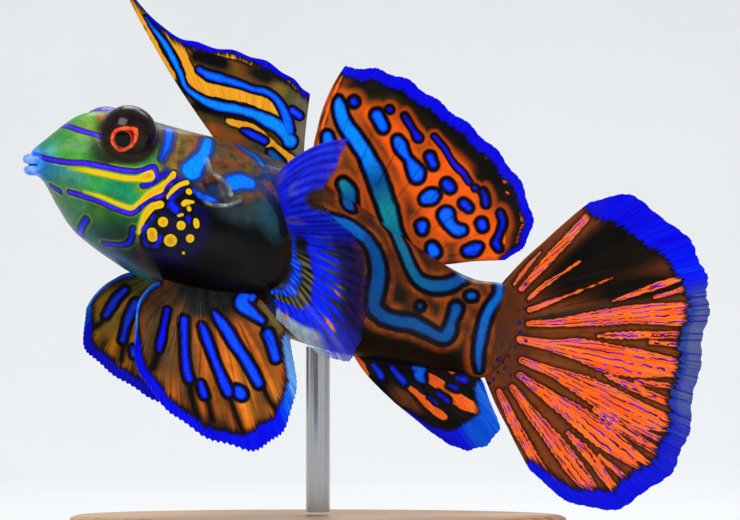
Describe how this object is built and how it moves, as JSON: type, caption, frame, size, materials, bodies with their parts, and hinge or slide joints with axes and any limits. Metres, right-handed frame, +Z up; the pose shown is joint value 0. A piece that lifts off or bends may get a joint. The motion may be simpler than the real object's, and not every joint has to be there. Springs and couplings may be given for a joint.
{
  "type": "mandarinfish",
  "caption": "Life-size still model of a mandarinfish swimming with all its fins spread, held above a flat oval base by one short rod",
  "frame": {"origin": "middle of the flat underside of the stand's base", "axes": "the fish faces -X and its tail +X, its left side is towards -Y, +Z is up"},
  "size_m": [0.0686, 0.038, 0.0592],
  "materials": {
    "head_skin": "wet green skin with blue and yellow lines",
    "body_skin": "wet brown and orange skin with blue bands",
    "fin_skin": "thin wet orange fin with blue marks and edge",
    "pectoral_skin": "thin wet blue fin with darker rays",
    "eye": "wet dark eye with a red iris",
    "base_wood": "satin pale wood",
    "rod_steel": "fine brushed"
  },
  "bodies": {
    "root": {"head": "head_skin", "trunk": "body_skin", "tail_stem": "body_skin", "eye_left": "eye", "eye_right": "eye", "dorsal_fin_first": "fin_skin", "dorsal_fin_second": "fin_skin", "tail_fin": "fin_skin", "anal_fin": "fin_skin", "pelvic_fin_left": "fin_skin", "pelvic_fin_right": "fin_skin", "pectoral_fin_left": "pectoral_skin", "pectoral_fin_right": "pectoral_skin", "stand_base": "base_wood", "stand_rod": "rod_steel"}
  },
  "joints": []
}
